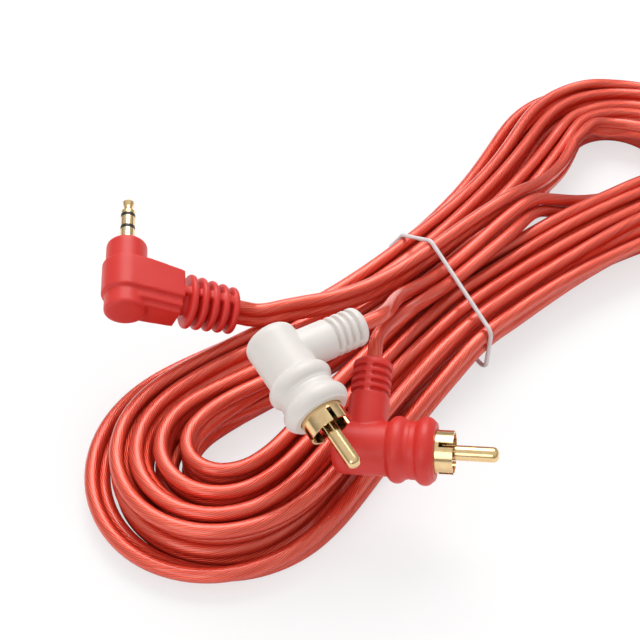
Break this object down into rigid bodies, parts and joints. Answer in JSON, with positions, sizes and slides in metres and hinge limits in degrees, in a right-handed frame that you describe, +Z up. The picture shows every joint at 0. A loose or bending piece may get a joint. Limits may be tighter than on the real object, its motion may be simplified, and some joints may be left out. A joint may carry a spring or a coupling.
{
  "type": "stereo lead hank",
  "caption": "Hank of twin cord tied at the waist, with a right-angle 3.5 mm stereo jack on one end and two right-angle phono plugs on the other.",
  "frame": {"origin": "centre of the bounding box, on the plane the hank lies on", "axes": "+X along the hank towards its larger end, +Z up from the plane it lies on, +Y across it to the side of the jack"},
  "size_m": [0.236, 0.1096, 0.0437],
  "materials": {
    "cord_jacket": "clear red over copper strands",
    "red_moulding": "satin",
    "white_moulding": "satin",
    "gold_plate": "polished",
    "band_black": "satin",
    "hard_core": "satin",
    "tie_coat": "clear",
    "tie_steel": "drawn"
  },
  "bodies": {
    "root": {"hank": "cord_jacket", "jack_cord_end": "cord_jacket", "jack_core": "hard_core", "jack_lead": "cord_jacket", "jack_moulding": "red_moulding", "jack_ring": "gold_plate", "jack_ring_insulator": "band_black", "jack_sleeve": "gold_plate", "jack_tip": "gold_plate", "jack_tip_insulator": "band_black", "red_body": "red_moulding", "red_cord_end": "cord_jacket", "red_core": "hard_core", "red_insulator": "band_black", "red_lead": "cord_jacket", "red_pin": "gold_plate", "red_shell": "gold_plate", "tie_coating": "tie_coat", "tie_wire": "tie_steel", "white_body": "white_moulding", "white_cord_end": "cord_jacket", "white_core": "hard_core", "white_insulator": "band_black", "white_lead": "cord_jacket", "white_pin": "gold_plate", "white_shell": "gold_plate"}
  },
  "joints": []
}
